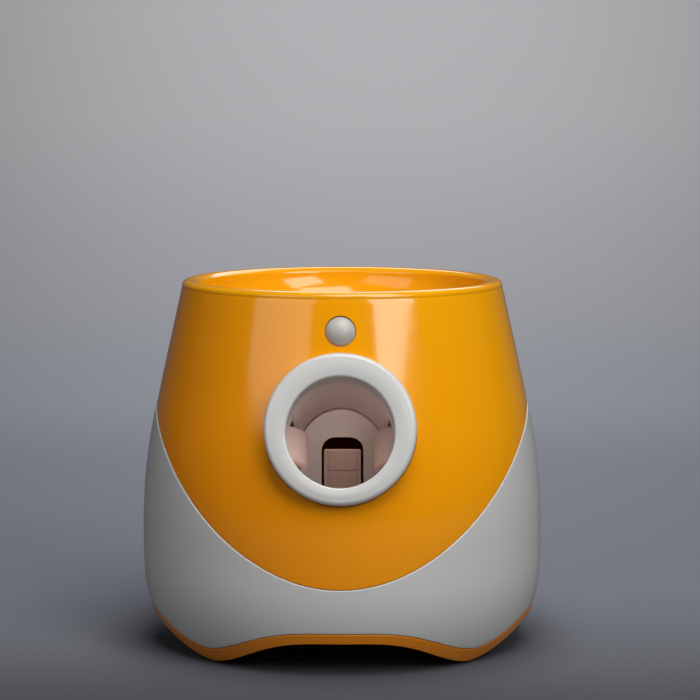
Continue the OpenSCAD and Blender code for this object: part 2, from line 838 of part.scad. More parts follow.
module button_switches() {
    color(black)
        panel_frame()
            for (x = [-1, 1])
                translate([x * button_x, 0, -button_board_depth]) {
                    translate([-3, -3, 0]) cube([6, 6, 2]);
                    cylinder(r = 1.6, h = 3.1);
                }
}

module dc_jack() {
    color(black)
        difference() {
            intersection() {
                body_solid(-0.4, 10, 80);
                inlet_frame() translate([0, 0, -16]) cylinder(r = inlet_d - 0.2, h = 30);
            }
            inlet_frame() translate([0, 0, -11]) difference() {
                cylinder(r = inlet_d / 2, h = 30);
                cylinder(r = 1, h = 9.5);
            }
        }
}

board_z = floor_top + 4;
board_x = 28;
board_t = 1.6;
board_screw_r = 1;
board_y = 34;
board_w = 52;
board_l = 40;
module board_corners() {
    for (x = [3, board_w - 3], y = [3, board_l - 3])
        translate([board_x + x, board_y + y, board_z + board_t]) children();
}
module main_board() {
    color(green)
        difference() {
            union() {
                translate([board_x, board_y, board_z]) cube([board_w, board_l, board_t]);
                board_corners() translate([0, 0, floor_top - board_z - board_t])
                    cylinder(r = 2.5, h = board_z - floor_top);
            }
            board_corners() translate([0, 0, -5]) cylinder(r = board_screw_r + 0.05, h = 10);
        }
}
module board_parts() {
    color(black)
        translate([board_x + 2, board_y, board_z + board_t]) {
            translate([6, 8, 0]) cube([10, 10, 1.6]);
            translate([24, 6, 0]) cube([5, 6, 1.5]);
            translate([24, 16, 0]) cube([5, 6, 1.5]);
            for (i = [0:3]) translate([5 + i * 9, 30, 0]) cube([7, 6, 7]);
            for (x = [36, 44]) translate([x, 10, 0]) cylinder(r = 3.1, h = 11);
            translate([36, 18, 0]) cube([10, 8, 2.4]);
        }
}
module speaker() {
    color(steel)
        translate([-speaker_x, speaker_y, floor_top]) {
            difference() {
                cylinder(r = 18, h = 2.5);
                translate([0, 0, -1]) cylinder(r = 14, h = 2.4);
            }
            translate([0, 0, 2.5]) cylinder(r1 = 17, r2 = 9, h = 3);
            translate([0, 0, 5.5]) cylinder(r = 8, h = 4);
        }
}

cell_z = floor_top + 2 + cell_d / 2;
box_top = cell_z + cell_d / 2 + 1.2;
module battery_box() {
    color(black)
        difference() {
            translate([-ear_x - box_wall, box_front - door_gap - box_wall, floor_top])
                cube([
                    2 * (ear_x + box_wall), door_l + door_gap + 2 * box_wall,
                    box_top + box_wall - floor_top
                ]);
            translate([-ear_x, box_front - door_gap, floor_top - 1])
                cube([2 * ear_x, door_l + door_gap, box_top - floor_top + 1]);
            // Notches over the hinge ears.
            for (x = [-1, 1])
                translate([x * (ear_x + 3) - 3, hinge_y - 4.5, floor_top - 1]) cube([6, 9, 6.5]);
        }
}
module each_cell() {
    for (x = [-1, 1], i = [-1:1])
        translate([x * (cell_l / 2 + 0.3), box_mid + i * (cell_d + 1), cell_z]) rotate([0, x * 90, 0])
            children();
}
module battery_cells() {
    color("#3f6f9f")
        each_cell() {
            translate([0, 0, -cell_l / 2]) cylinder(r = cell_d / 2, h = cell_l - 1.6);
            translate([0, 0, cell_l / 2 - 1.6]) cylinder(r = 4, h = 1.6);
        }
}
module battery_contacts() {
    color(steel)
        each_cell()
            translate([-6, -6, cell_l / 2 + 0.1]) cube([12, 12, ear_x - cell_l - 0.5]);
}
module battery_door() {
    color(orange)
        difference() {
            union() {
                translate([-door_w / 2, box_front, hinge_z - door_t / 2])
                    cube([door_w, hinge_y - box_front, door_t]);
                translate([-door_w / 2, hinge_y, hinge_z]) rotate([0, 90, 0])
                    cylinder(r = hinge_r, h = door_w);
                translate([-ear_x - pin_reach, hinge_y, hinge_z])
                    rotate([0, 90, 0]) cylinder(r = pin_r, h = 2 * (ear_x + pin_reach));
                translate([-8, box_front - 0.2, hinge_z - door_t / 2]) cube([16, 4, door_t + 3]);
            }
            // Finger grip.
            translate([-9, box_front + 5, hinge_z - door_t / 2 - 1]) cube([18, 5, 1.8]);
        }
}

module screw(r, length, head_r, head_h) {
    cylinder(r = r, h = length);
    translate([0, 0, -head_h]) cylinder(r = head_r, h = head_h);
}
module case_screws() {
    color(steel)
        for (turn = [0:90:270])
            rotate([0, 0, turn])
                translate([0, case_screw_at, arch_h + 2.4])
                    screw(screw_r - 0.25, 13, 2.8, 2);
}
module tube_screws() {
    color(steel)
        bore_frame()
            for (ear = tube_ears)
                translate(ear + [0, tube_ear_t, 0])
                    rotate([90, 0, 0]) screw(screw_r - 0.25, tube_screw_l, 2.8, 2);
}
module base_screws() {
    color(steel) {
        for (y = [-8, 8])
            translate([feed_motor_x + 14, pivot_y + y, floor_top + bracket_t])
                rotate([180, 0, 0]) screw(screw_r - 0.25, bracket_t + 2, 2.4, 1.2);
        board_corners() rotate([180, 0, 0]) screw(board_screw_r, 4, 2, 1);
    }
}
module motor_screws() {
    color(steel)
        bore_frame()
            for (x = [-1, 1], hole = [-1, 1])
                translate([x * wheel_x, wheel_s + hole * 8.5, deck_z])
                    rotate([180, 0, 0]) screw(screw_r - 0.25, deck_t + 1.5, 2.4, 1);
}

// The nozzle ring stands out in front, so the part moves back by half of what it adds.
front_reach = wall_at_bore + (ring_r - lip_outer) * sin(taper_angle)
    + (ring_proud - lip_outer) * cos(taper_angle) + lip_outer;
module placed() {
    translate([0, (front_reach - belly_r) / 2, 0]) children();
}

placed() upper_shell();
placed() hopper();
placed() lower_shell();
placed() base_tray();
placed() foot_pads();
placed() nozzle_ring();
placed() launch_tube();
placed() ball_cradle();
placed() flywheel_left_tyre();
placed() flywheel_left_hub();
placed() flywheel_right_tyre();
placed() flywheel_right_hub();
placed() drive_motor_left();
placed() drive_motor_right();
placed() motor_shaft_left();
placed() motor_shaft_right();
placed() feed_paddle();
placed() paddle_shaft();
placed() paddle_collars();
placed() feed_motor();
placed() feed_motor_bracket();
placed() pir_lens();
placed() pir_sensor();
placed() pir_board();
placed() ball_sensors();
placed() control_panel();
placed() power_button();
placed() range_button();
placed() indicator_leds();
placed() button_board();
placed() button_switches();
placed() dc_jack();
placed() main_board();
placed() board_parts();
placed() speaker();
placed() battery_box();
placed() battery_cells();
placed() battery_contacts();
placed() battery_door();
placed() case_screws();
placed() tube_screws();
placed() motor_screws();
placed() base_screws();
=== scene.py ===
"""Looks of a round two-tone ball launcher: smooth skins, materials, light and camera.

Sizes are in millimetres, like the part's own sizes, and meshes are made in metres.
The front faces -Y, +Z is up, and the origin is on the floor under the centre of the outer
box. The pieces are drawn about the housing's own axis, which stands a little behind it.
"""

import math

import bmesh
import bpy
from mathutils import Matrix, Quaternion, Vector


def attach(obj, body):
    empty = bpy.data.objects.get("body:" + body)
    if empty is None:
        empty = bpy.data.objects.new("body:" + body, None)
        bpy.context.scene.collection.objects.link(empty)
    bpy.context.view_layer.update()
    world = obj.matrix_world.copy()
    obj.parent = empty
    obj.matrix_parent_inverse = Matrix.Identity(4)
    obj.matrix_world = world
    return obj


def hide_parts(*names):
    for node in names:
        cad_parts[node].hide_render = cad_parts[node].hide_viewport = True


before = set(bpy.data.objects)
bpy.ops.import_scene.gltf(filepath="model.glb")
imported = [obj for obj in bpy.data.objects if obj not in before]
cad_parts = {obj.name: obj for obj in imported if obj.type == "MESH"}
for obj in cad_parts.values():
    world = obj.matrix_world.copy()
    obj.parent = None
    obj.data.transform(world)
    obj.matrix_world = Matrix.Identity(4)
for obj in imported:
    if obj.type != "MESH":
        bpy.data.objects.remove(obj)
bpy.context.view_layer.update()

MM = 0.001
TURN = 2 * math.pi

# Housing profile
BELLY_R = 122.5
BELLY_Z = 72
BELLY_BLEND = 328
TAPER = math.radians(12.6)
FOOT_DRAW = 16
FOOT_DRAW_Z = 60
BODY_H = 222.2
RIM_Z = BODY_H - 4
RIM_ROLL = 4.6
WALL = 2.6
SEAM = 0.3
EDGE = 0.5
HAIRLINE = 0.06
SINK = 0.3
SINK_FADE = 9

# Two-tone cover and base
COVER_APEX_Z = 147
COVER_DROP = 94
COVER_POWER = 1.73
BAND_H = 9.3
BAND_RISE = 17
ARCH_H = 20
ARCH_HALF_W = 78
FOOT_LOW = 1
FLOOR_T = 2.6
FLOOR_HALF_W = 58
FLOOR_TOP = ARCH_H + FLOOR_T

# Nozzle, bore and wheels
FIRE_ANGLE = math.radians(25)
BORE_R = 31.2
BORE_Z = 143.5
RING_R = 44
RING_PROUD = 4.5
RING_DEPTH = 10
RING_GAP = 0.25
RING_LIFT = 1.5
HOLE_DROP = 1.4
WHEEL_R = 21
WHEEL_W = 22
WHEEL_X = 19.5 + WHEEL_R
WHEEL_S = 40
TYRE_T = 4

# Hopper
WELL_R = 32
WELL_FORWARD = 18
THROAT_Z = 160
HOPPER_WALL = 2.6
RIM_LIP_W = 5.6
BOWL_DEPTH = BODY_H - 2.5 - THROAT_Z
BOWL_SLOPE = 0.35

# Sensor and controls
LENS_R = 8.8
LENS_Z = BODY_H - 22
PANEL_Z = 150
PANEL_W = 66
PANEL_H = 28
INLET_Z = 40
INLET_TURN = math.radians(24)
INLET_R = 5.6

BLEND_TOP_Z = BELLY_Z + BELLY_BLEND * math.sin(TAPER)
BLEND_TOP_R = BELLY_R - BELLY_BLEND * (1 - math.cos(TAPER))


def wall_r(z):
    """Outer radius of the housing at a height."""
    if z >= BLEND_TOP_Z:
        return BLEND_TOP_R - (z - BLEND_TOP_Z) * math.tan(TAPER)
    if z >= BELLY_Z:
        return BELLY_R - BELLY_BLEND + math.sqrt(BELLY_BLEND**2 - (z - BELLY_Z) ** 2)
    if z >= FOOT_DRAW_Z:
        return BELLY_R
    return BELLY_R - FOOT_DRAW * ((FOOT_DRAW_Z - z) / FOOT_DRAW_Z) ** 2.6


RIM_OUT_R = wall_r(RIM_Z)
RIM_TOP_R = RIM_OUT_R - RIM_ROLL
BOWL_TOP_R = RIM_TOP_R - RIM_LIP_W


def cover_z(y):
    """Height of the cover's upper edge at a distance from the middle along Y."""
    return COVER_APEX_Z - COVER_DROP * (abs(y) / (BELLY_R - 0.3)) ** COVER_POWER


def hump(x, half_w):
    """Arch between two feet, 1 in the middle and 0 from its half width on."""
    share = min(abs(x) / half_w, 1)
    return math.cos(math.pi / 2 * share**1.8) ** 2


def seam_z(x, y):
    """Height of the seam between the base band and the cover."""
    half_w = ARCH_HALF_W + 4
    return BAND_H + BAND_RISE * max(hump(x, half_w), hump(y, half_w))


def settle(height_at, angle, start):
    """Height at which the wall at an angle meets an edge that is given as a height over x and y."""
    z = start
    for _ in range(30):
        r = wall_r(z)
        z = height_at(r * math.cos(angle), r * math.sin(angle))
    return z


# Where the housing's axis stands: half of what the nozzle ring adds in front.
LIP_OUTER = 3
LIP_INNER = 1.6
FRONT_REACH = (
    wall_r(BORE_Z)
    + (RING_R - LIP_OUTER) * math.sin(TAPER)
    + (RING_PROUD - LIP_OUTER) * math.cos(TAPER)
    + LIP_OUTER
)
AXIS = Vector((0, (FRONT_REACH - BELLY_R) / 2, 0))


# ---------------------------------------------------------------- frames on the object

BORE_FRAME = Matrix.Translation((0, -wall_r(BORE_Z), BORE_Z)) @ Matrix.Rotation(-FIRE_ANGLE, 4, "X")
INLET_FRAME = (
    Matrix.Rotation(INLET_TURN, 4, "Z")
    @ Matrix.Translation((0, wall_r(INLET_Z), INLET_Z))
    @ Matrix.Rotation(-math.pi / 2, 4, "X")
)


def front_wall(z):
    """Frame on the front wall whose +Z points out of the wall."""
    return Matrix.Translation((0, -wall_r(z), z)) @ Matrix.Rotation(math.pi / 2 - TAPER, 4, "X")


def back_wall(z):
    """The same on the back wall."""
    lean = Matrix.Rotation(math.pi, 4, "Z") @ Matrix.Rotation(math.pi / 2 - TAPER, 4, "X")
    return Matrix.Translation((0, wall_r(z), z)) @ lean


RING_FRAME = front_wall(BORE_Z) @ Matrix.Translation((0, RING_LIFT, 0))
PANEL_DEPTH = (PANEL_W / 2) ** 2 / (2 * wall_r(PANEL_Z)) + 1.4
PANEL_FRAME = back_wall(PANEL_Z) @ Matrix.Translation((0, 0, -PANEL_DEPTH))


# ---------------------------------------------------------------- mesh helpers

def new_object(name, points, faces, place=Matrix.Identity(4)):
    """Object from points in millimetres, with its normals turned outwards."""
    mesh = bpy.data.meshes.new(name)
    mesh.from_pydata([tuple((AXIS + place @ Vector(p)) * MM) for p in points], [], faces)
    work = bmesh.new()
    work.from_mesh(mesh)
    bmesh.ops.remove_doubles(work, verts=work.verts, dist=1e-7)
    loose = [e for e in work.edges if not e.link_faces]
    bmesh.ops.delete(work, geom=loose, context="EDGES")
    bmesh.ops.recalc_face_normals(work, faces=work.faces)
    work.to_mesh(mesh)
    work.free()
    obj = bpy.data.objects.new(name, mesh)
    bpy.context.scene.collection.objects.link(obj)
    return obj


def loft(name, sections, place=Matrix.Identity(4), closed_way=True):
    """Skin over sections of equal length, each a closed loop.

    With closed_way the last section joins the first, without it both ends are capped.
    """
    count, size = len(sections), len(sections[0])
    points = [p for section in sections for p in section]
    faces = []
    for i in range(count if closed_way else count - 1):
        j = (i + 1) % count
        for k in range(size):
            n = (k + 1) % size
            faces.append((i * size + k, j * size + k, j * size + n, i * size + n))
    if not closed_way:
        faces.append(tuple(range(size)))
        faces.append(tuple(range((count - 1) * size, count * size)))
    return new_object(name, points, faces, place)


def revolve(name, profile, place=Matrix.Identity(4), columns=128):
    """Closed (radius, height) profile turned about Z. A radius of 0 makes a pole."""
    sections = [
        [(r * math.cos(TURN * c / columns), r * math.sin(TURN * c / columns), z) for r, z in profile]
        for c in range(columns)
    ]
    return loft(name, sections, place)


def extrude(name, outline, low, high, place=Matrix.Identity(4)):
    """Outline in the XY plane made solid between two heights."""
    return loft(name, [[(x, y, z) for x, y in outline] for z in (low, high)], place, closed_way=False)


def quarter(steps):
    """Angles of a quarter turn, both ends included."""
    return [math.pi / 2 * i / steps for i in range(steps + 1)]


def rounded_outline(w, h, r, steps=10):
    """Rectangle with round corners about the origin."""
    outline = []
    for corner, (sx, sy) in enumerate(((1, 1), (-1, 1), (-1, -1), (1, -1))):
        for i in range(steps + 1):
            a = math.pi / 2 * (corner + i / steps)
            outline.append((sx * (w / 2 - r) + r * math.cos(a), sy * (h / 2 - r) + r * math.sin(a)))
    return outline


def circle_outline(r, x=0, y=0, steps=64):
    """Circle about a point."""
    turns = [TURN * i / steps for i in range(steps)]
    return [(x + r * math.cos(a), y + r * math.sin(a)) for a in turns]


def pillow(name, outline_at, low, high, edge, place=Matrix.Identity(4), steps=5):
    """Plate between two heights whose edges are rounded; outline_at(grow) gives its outline."""
    arc = [(edge * (1 - math.sin(a)), -edge * (1 - math.cos(a))) for a in quarter(steps)]
    rows = [(low + rise, grow) for rise, grow in reversed(arc)]
    rows += [(high - rise, grow) for rise, grow in arc]
    sections = [[(x, y, z) for x, y in outline_at(grow)] for z, grow in rows]
    return loft(name, sections, place, closed_way=False)


def combine(target, tool, operation="DIFFERENCE"):
    """Boolean of two closed meshes, applied."""
    change = target.modifiers.new("combine", "BOOLEAN")
    change.operation = operation
    change.object = tool
    change.solver = "EXACT"
    graph = bpy.context.evaluated_depsgraph_get()
    mesh = bpy.data.meshes.new_from_object(target.evaluated_get(graph))
    target.modifiers.clear()
    target.data = mesh
    bpy.data.objects.remove(tool)
    return target


def smooth(obj, angle=32):
    """Smooth shading that stays sharp at edges over an angle."""
    for face in obj.data.polygons:
        face.use_smooth = True
    obj.data.set_sharp_from_angle(angle=math.radians(angle))
    return obj


def clean(obj):
    """Merge points that lie within 2 micrometres, and drop the slivers that this leaves."""
    work = bmesh.new()
    work.from_mesh(obj.data)
    bmesh.ops.remove_doubles(work, verts=work.verts, dist=2e-6)
    bmesh.ops.dissolve_degenerate(work, edges=work.edges, dist=1e-6)
    work.to_mesh(obj.data)
    work.free()


def piece(obj, body, material, replaces=(), angle=32):
    """Finish a piece: shading, material, the body it rides on and the nodes it stands for."""
    clean(obj)
    smooth(obj, angle)
    obj.data.materials.clear()
    obj.data.materials.append(material)
    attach(obj, body)
    if replaces:
        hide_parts(*replaces)
    return obj


# ---------------------------------------------------------------- materials

def linear(r, g, b):
    """Screen colour, 0 to 255, as linear light."""
    def one(v):
        v /= 255
        return v / 12.92 if v <= 0.04045 else ((v + 0.055) / 1.055) ** 2.4

    return (one(r), one(g), one(b), 1)


# Painted light: a lit, yellower tint takes over towards the top and the right, where the key light falls,
# along a slanted line: metres upwards plus a share of those to +X.
LIT_TINT_SLANT = 1.29
LIT_TINT_FROM = -0.114
LIT_TINT_TO = 0.343


def surface(
    name,
    colour,
    rough,
    metallic=0,
    coat=0,
    grain=0,
    grain_size=1,
    mottle=0.03,
    under=0,
    clear=0,
    lit_tint=None,
):
    """Moulded or metal surface: mottled colour, uneven roughness and a fine bump.

    Where a second, lit colour is given, the colour shades over to it towards the top and +X: painted
    light, yellower where the key light falls.
    """
    material = bpy.data.materials.new(name)
    material.use_nodes = True
    tree = material.node_tree
    node, link = tree.nodes, tree.links
    shader = node["Principled BSDF"]
    shader.inputs["Metallic"].default_value = metallic
    shader.inputs["Coat Weight"].default_value = coat
    shader.inputs["Coat Roughness"].default_value = 0.04
    shader.inputs["Subsurface Weight"].default_value = under
    shader.inputs["Subsurface Radius"].default_value = (0.004, 0.003, 0.002)
    shader.inputs["Transmission Weight"].default_value = clear
    place = node.new("ShaderNodeTexCoord")

    cloud = node.new("ShaderNodeTexNoise")
    cloud.inputs["Scale"].default_value = 18
    cloud.inputs["Detail"].default_value = 4
    link.new(place.outputs["Object"], cloud.inputs["Vector"])
    tint = node.new("ShaderNodeMix")
    tint.data_type = "RGBA"
    tint.inputs["A"].default_value = tuple(c * (1 - mottle) for c in colour[:3]) + (1,)
    tint.inputs["B"].default_value = tuple(min(c * (1 + mottle), 1) for c in colour[:3]) + (1,)
    link.new(cloud.outputs["Fac"], tint.inputs["Factor"])
    pigment_and_painted_light = tint
    # Painted light: towards the top and +X the colour shades over to the lit tint.
    if lit_tint:
        axes = node.new("ShaderNodeSeparateXYZ")
        link.new(place.outputs["Object"], axes.inputs["Vector"])
        way = node.new("ShaderNodeMath")
        way.operation = "MULTIPLY_ADD"
        way.inputs[1].default_value = LIT_TINT_SLANT
        link.new(axes.outputs["X"], way.inputs[0])
        link.new(axes.outputs["Z"], way.inputs[2])
        share = node.new("ShaderNodeMapRange")
        share.inputs["From Min"].default_value = LIT_TINT_FROM
        share.inputs["From Max"].default_value = LIT_TINT_TO
        link.new(way.outputs["Value"], share.inputs["Value"])
        shade = node.new("ShaderNodeMix")
        shade.data_type = "RGBA"
        shade.inputs["B"].default_value = lit_tint
        link.new(share.outputs["Result"], shade.inputs["Factor"])
        link.new(tint.outputs["Result"], shade.inputs["A"])
        pigment_and_painted_light = shade
    link.new(pigment_and_painted_light.outputs["Result"], shader.inputs["Base Color"])

    wear = node.new("ShaderNodeTexNoise")
    wear.inputs["Scale"].default_value = 60
    wear.inputs["Detail"].default_value = 6
    link.new(place.outputs["Object"], wear.inputs["Vector"])
    spread = node.new("ShaderNodeMapRange")
    spread.inputs["To Min"].default_value = rough * 0.85
    spread.inputs["To Max"].default_value = rough * 1.15
    link.new(wear.outputs["Fac"], spread.inputs["Value"])
    link.new(spread.outputs["Result"], shader.inputs["Roughness"])

    if grain:
        fine = node.new("ShaderNodeTexNoise")
        fine.inputs["Scale"].default_value = 1000 / grain_size
        fine.inputs["Detail"].default_value = 3
        link.new(place.outputs["Object"], fine.inputs["Vector"])
        bump = node.new("ShaderNodeBump")
        bump.inputs["Strength"].default_value = grain
        bump.inputs["Distance"].default_value = 0.0002
        link.new(fine.outputs["Fac"], bump.inputs["Height"])
        link.new(bump.outputs["Normal"], shader.inputs["Normal"])
    return material


GLOSS = {"coat": 0.2, "grain": 0.03, "grain_size": 6, "under": 0.04}
SATIN = {"coat": 0.25, "grain": 0.05, "grain_size": 4, "under": 0.04}
SHELL = {"coat": 0.2, "grain": 0.04, "grain_size": 5, "mottle": 0.015}
INSIDE = {"grain": 0.08, "grain_size": 3, "mottle": 0.02}

# Painted light on the shell: a redder orange where it lies in shade, shading over to a yellower one
# towards the lit top and right.
ORANGE = surface("orange_gloss", linear(242, 137, 0), 0.12, lit_tint=linear(253, 171, 0), **GLOSS)
# Painted light: the bowl has its own yellower copy of the shell's orange, the colour the orange shows
# where the top light falls.
BOWL_ORANGE = surface("orange_bowl", linear(244, 165, 2), 0.13, **GLOSS)
BASE_ORANGE = surface("orange_satin", linear(226, 131, 0), 0.24, **SATIN)
WHITE = surface("white_gloss", linear(204, 203, 201), 0.24, **SHELL)
RING_WHITE = surface("white_ring", linear(210, 209, 206), 0.24, **SHELL)
# Painted light and shade: the cradle, tube and paddle are the white plastic of the shell, each with a
# pink tint of orange bounce light and its own brightness; the paddle is darkened with painted shade.
INNER_WHITE = surface("white_inner", linear(200, 185, 178), 0.38, **INSIDE)
TUBE_WHITE = surface("white_tube", linear(234, 215, 207), 0.42, **INSIDE)
PADDLE_WHITE = surface("white_paddle", linear(184, 152, 138), 0.34, **INSIDE)
SILICONE = surface("silicone", linear(214, 182, 170), 0.5, grain=0.15, grain_size=1.5, under=0.15)
RUBBER = surface("rubber", linear(38, 38, 39), 0.75, grain=0.3, grain_size=1.2, mottle=0.1)
# Orange moulding, darkened and reddened with painted shade and red leaked light, as the housing's shaded
# inside looks.
BOX_ORANGE = surface("orange_inner", linear(196, 84, 20), 0.5, grain=0.1, grain_size=2, mottle=0.06)
BLACK = surface("black_moulded", linear(36, 37, 39), 0.42, grain=0.25, grain_size=0.8, mottle=0.06)
BLACK_SATIN = surface("black_satin", linear(30, 30, 32), 0.3, grain=0.05, grain_size=2)
GREY_BUTTON = surface("grey_button", linear(214, 213, 209), 0.32, grain=0.06, grain_size=1.5, mottle=0.02)
LENS = surface("lens", linear(204, 201, 194), 0.36, grain=0.04, grain_size=2, under=0.5, clear=0.15)
STEEL = surface("steel", linear(196, 198, 201), 0.3, metallic=1, grain=0.05, grain_size=2)
ZINC = surface("zinc", linear(186, 189, 192), 0.36, metallic=1, grain=0.08, grain_size=1)
BOARD = surface("solder_mask", linear(28, 108, 62), 0.3, coat=0.3, grain=0.08, grain_size=1, mottle=0.1)
CELL = surface("cell_sleeve", linear(58, 92, 140), 0.25, coat=0.4, mottle=0.05)
LED = surface("led_diffuser", linear(150, 214, 140), 0.2, under=0.4, clear=0.3)
MARK = surface("key_mark", linear(62, 63, 66), 0.5, grain=0.05, grain_size=1)

# Nodes that show their own mesh.
CAD_FINISH = {
    "ball_cradle": INNER_WHITE,
    "flywheel_left_hub": BLACK,
    "flywheel_right_hub": BLACK,
    "drive_motor_left": STEEL,
    "drive_motor_right": STEEL,
    "motor_shaft_left": STEEL,
    "motor_shaft_right": STEEL,
    "paddle_shaft": STEEL,
    "paddle_collars": STEEL,
    "feed_motor": STEEL,
    "feed_motor_bracket": ZINC,
    "pir_sensor": ZINC,
    "pir_board": BOARD,
    "ball_sensors": BLACK,
    "button_board": BOARD,
    "button_switches": BLACK,
    "main_board": BOARD,
    "board_parts": BLACK_SATIN,
    "speaker": BLACK,
    "battery_box": BOX_ORANGE,
    "battery_cells": CELL,
    "battery_contacts": ZINC,
    "tube_screws": ZINC,
    "motor_screws": ZINC,
    "base_screws": ZINC,
    "case_screws": ZINC,
    "dc_jack": BLACK,
}
for node_name, finish_material in CAD_FINISH.items():
    for material_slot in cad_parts[node_name].material_slots:
        material_slot.material = finish_material


# ---------------------------------------------------------------- shells

COLUMNS = 360


def shell_section(angle, low, high, wall, sink=0, low_edge=EDGE, high_edge=EDGE, rows=44):
    """Closed section of a shell at an angle, between two edges that are rounded on the outside.

    Near its low edge the skin can sink a little, so that the shell below stands proud there.
    """
    def at(depth, z):
        r = wall_r(z) - depth - sink * math.exp(-(((z - low) / SINK_FADE) ** 2))
        return (r * math.cos(angle), r * math.sin(angle), z)

    corner = quarter(5)
    path = []
    for a in corner[:-1]:
        path.append(at(low_edge * (1 - math.sin(a)), low + low_edge * (1 - math.cos(a))))
    for i in range(rows + 1):
        path.append(at(0, low + low_edge + (high - low - low_edge - high_edge) * i / rows))
    for a in corner[1:]:
        path.append(at(high_edge * (1 - math.cos(a)), high - high_edge * (1 - math.sin(a))))
    for i in range(rows // 2 + 1):
        path.append(at(wall, high + (low - high) * i / (rows // 2)))
    return path


def seam_sections(low_at, high_at, wall, **edges):
    """Sections all round a shell, between two edges that are given as heights over the angle."""
    angles = [TURN * c / COLUMNS for c in range(COLUMNS)]
    return [shell_section(a, low_at(a), high_at(a), wall, **edges) for a in angles]


def cover_edge(angle):
    """Height of the cover's upper edge on the wall."""
    return settle(lambda x, y: cover_z(y), angle, 100)


def band_edge(angle):
    """Height of the base band's upper edge on the wall."""
    return settle(seam_z, angle, 20)


upper = loft(
    "upper_shell_skin",
    seam_sections(
        lambda a: cover_edge(a) + SEAM / 2,
        lambda a: RIM_Z - HAIRLINE,
        WALL,
        sink=SINK,
        high_edge=HAIRLINE,
    ),
)
combine(upper, extrude("cutter", circle_outline(RING_R + RING_GAP, steps=160), -40, 30, RING_FRAME))
combine(upper, extrude("cutter", circle_outline(LENS_R + 0.25, steps=96), -20, 20, front_wall(LENS_Z)))
combine(
    upper,
    extrude("cutter", rounded_outline(PANEL_W + 0.6, PANEL_H + 0.6, 6), -16, 14, back_wall(PANEL_Z)),
)
piece(upper, "housing", ORANGE, ["upper_shell"])

lower = loft(
    "lower_shell_skin",
    seam_sections(lambda a: band_edge(a) + SEAM / 2, lambda a: cover_edge(a) - SEAM / 2, WALL),
)
combine(lower, extrude("cutter", circle_outline(INLET_R + 0.1), -30, 30, INLET_FRAME))
piece(lower, "housing", WHITE, ["lower_shell"])


# ---------------------------------------------------------------- base

ARCH_RISE = ARCH_H - FOOT_LOW
BASE_REACH = BELLY_R + 8


def arch_edge(angle):
    """Height of the skirt's lower edge on the wall."""
    def underside(x, y):
        return FOOT_LOW + ARCH_RISE * max(hump(x, ARCH_HALF_W), hump(y, ARCH_HALF_W))

    return settle(underside, angle, 10)


def below_arches(turn):
    """Everything below an arched tunnel that runs through the base."""
    steps = 40
    across = [ARCH_HALF_W * i / steps for i in range(-steps, steps + 1)]
    outline = [(-BASE_REACH, -20), (-BASE_REACH, FOOT_LOW)]
    outline += [(x, FOOT_LOW + ARCH_RISE * hump(x, ARCH_HALF_W)) for x in across]
    outline += [(BASE_REACH, FOOT_LOW), (BASE_REACH, -20)]
    place = Matrix.Rotation(turn, 4, "Z") @ Matrix.Rotation(math.pi / 2, 4, "X")
    return extrude("arch", outline, -BASE_REACH, BASE_REACH, place)


def box(name, low, high):
    """Box between two corners."""
    outline = [(low[0], low[1]), (high[0], low[1]), (high[0], high[1]), (low[0], high[1])]
    return extrude(name, outline, low[2], high[2])


def housing_solid(name, inset, low, high):
    """Solid of the housing, drawn in by a depth, between two heights."""
    rows = [low + (high - low) * i / 12 for i in range(13)]
    profile = [(0, low)] + [(wall_r(z) - inset, z) for z in rows] + [(0, high)]
    return revolve(name, profile, columns=COLUMNS)


band = loft("base_band_skin", seam_sections(arch_edge, lambda a: band_edge(a) - SEAM / 2, WALL + 0.3))
piece(band, "housing", BASE_ORANGE, ["base_tray"])

DOOR_W = 104
DOOR_BACK = -6
DOOR_FRONT = DOOR_BACK - 86.6
DOOR_GAP = 0.5
HINGE_Y = -7.6
HINGE_Z = 21.2
EAR_X = DOOR_W / 2 + DOOR_GAP
EAR_T = 5
EAR_TOP = 26
POST_X = 28
POST_Y = 6
POST_TOP = 63.3
CASE_HOLE_IN = 14.5
SPEAKER_X = -42
SPEAKER_Y = 62
SPEAKER_HOLES = 6
CLEAR_CUT = 0.03


